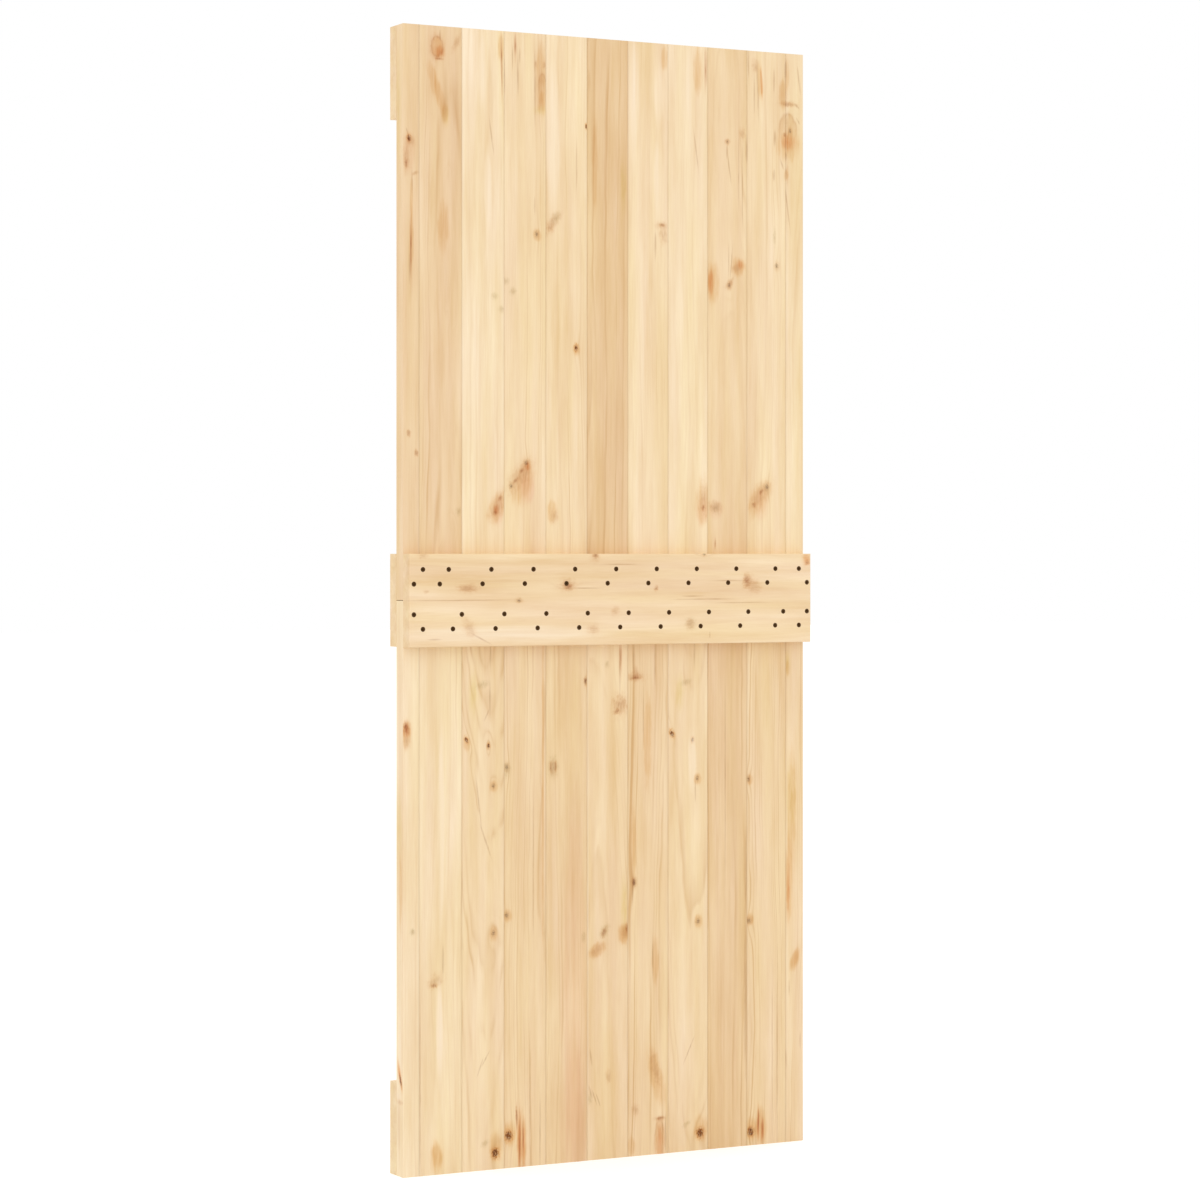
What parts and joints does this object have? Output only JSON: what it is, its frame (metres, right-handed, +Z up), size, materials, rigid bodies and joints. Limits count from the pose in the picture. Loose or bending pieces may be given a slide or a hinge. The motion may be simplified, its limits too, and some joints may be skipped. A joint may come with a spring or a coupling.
{
  "type": "sliding door leaf",
  "caption": "Boarded pine leaf for a sliding door: upright tongue-and-groove boards in two panels, front rails, and a screwed back rail over their joint.",
  "frame": {"origin": "middle of the outer face of the front top rail, where hanger straps bolt on", "axes": "+X along the width, to the right when seen from the back; +Y out of the front, the side with three rails; +Z up"},
  "size_m": [0.85, 0.086, 2.1],
  "materials": {
    "board_tan": "bare planed pine, tan",
    "board_mid": "bare planed pine, mid tone",
    "board_pale": "bare planed pine, pale",
    "rail_pine": "bare planed pine",
    "black_screw": "black phosphate"
  },
  "bodies": {
    "root": {"upper_board_1": "board_tan", "upper_board_2": "board_tan", "upper_board_3": "board_pale", "upper_board_4": "board_mid", "upper_board_5": "board_pale", "upper_board_6": "board_tan", "upper_board_7": "board_mid", "upper_board_8": "board_pale", "upper_board_9": "board_mid", "upper_board_10": "board_pale", "upper_board_11": "board_pale", "lower_board_1": "board_tan", "lower_board_2": "board_tan", "lower_board_3": "board_pale", "lower_board_4": "board_mid", "lower_board_5": "board_pale", "lower_board_6": "board_tan", "lower_board_7": "board_mid", "lower_board_8": "board_pale", "lower_board_9": "board_mid", "lower_board_10": "board_pale", "lower_board_11": "board_pale", "front_top_rail": "rail_pine", "front_middle_rail": "rail_pine", "front_bottom_rail": "rail_pine", "back_middle_rail": "rail_pine", "upper_panel_screws": "black_screw", "lower_panel_screws": "black_screw"}
  },
  "joints": []
}
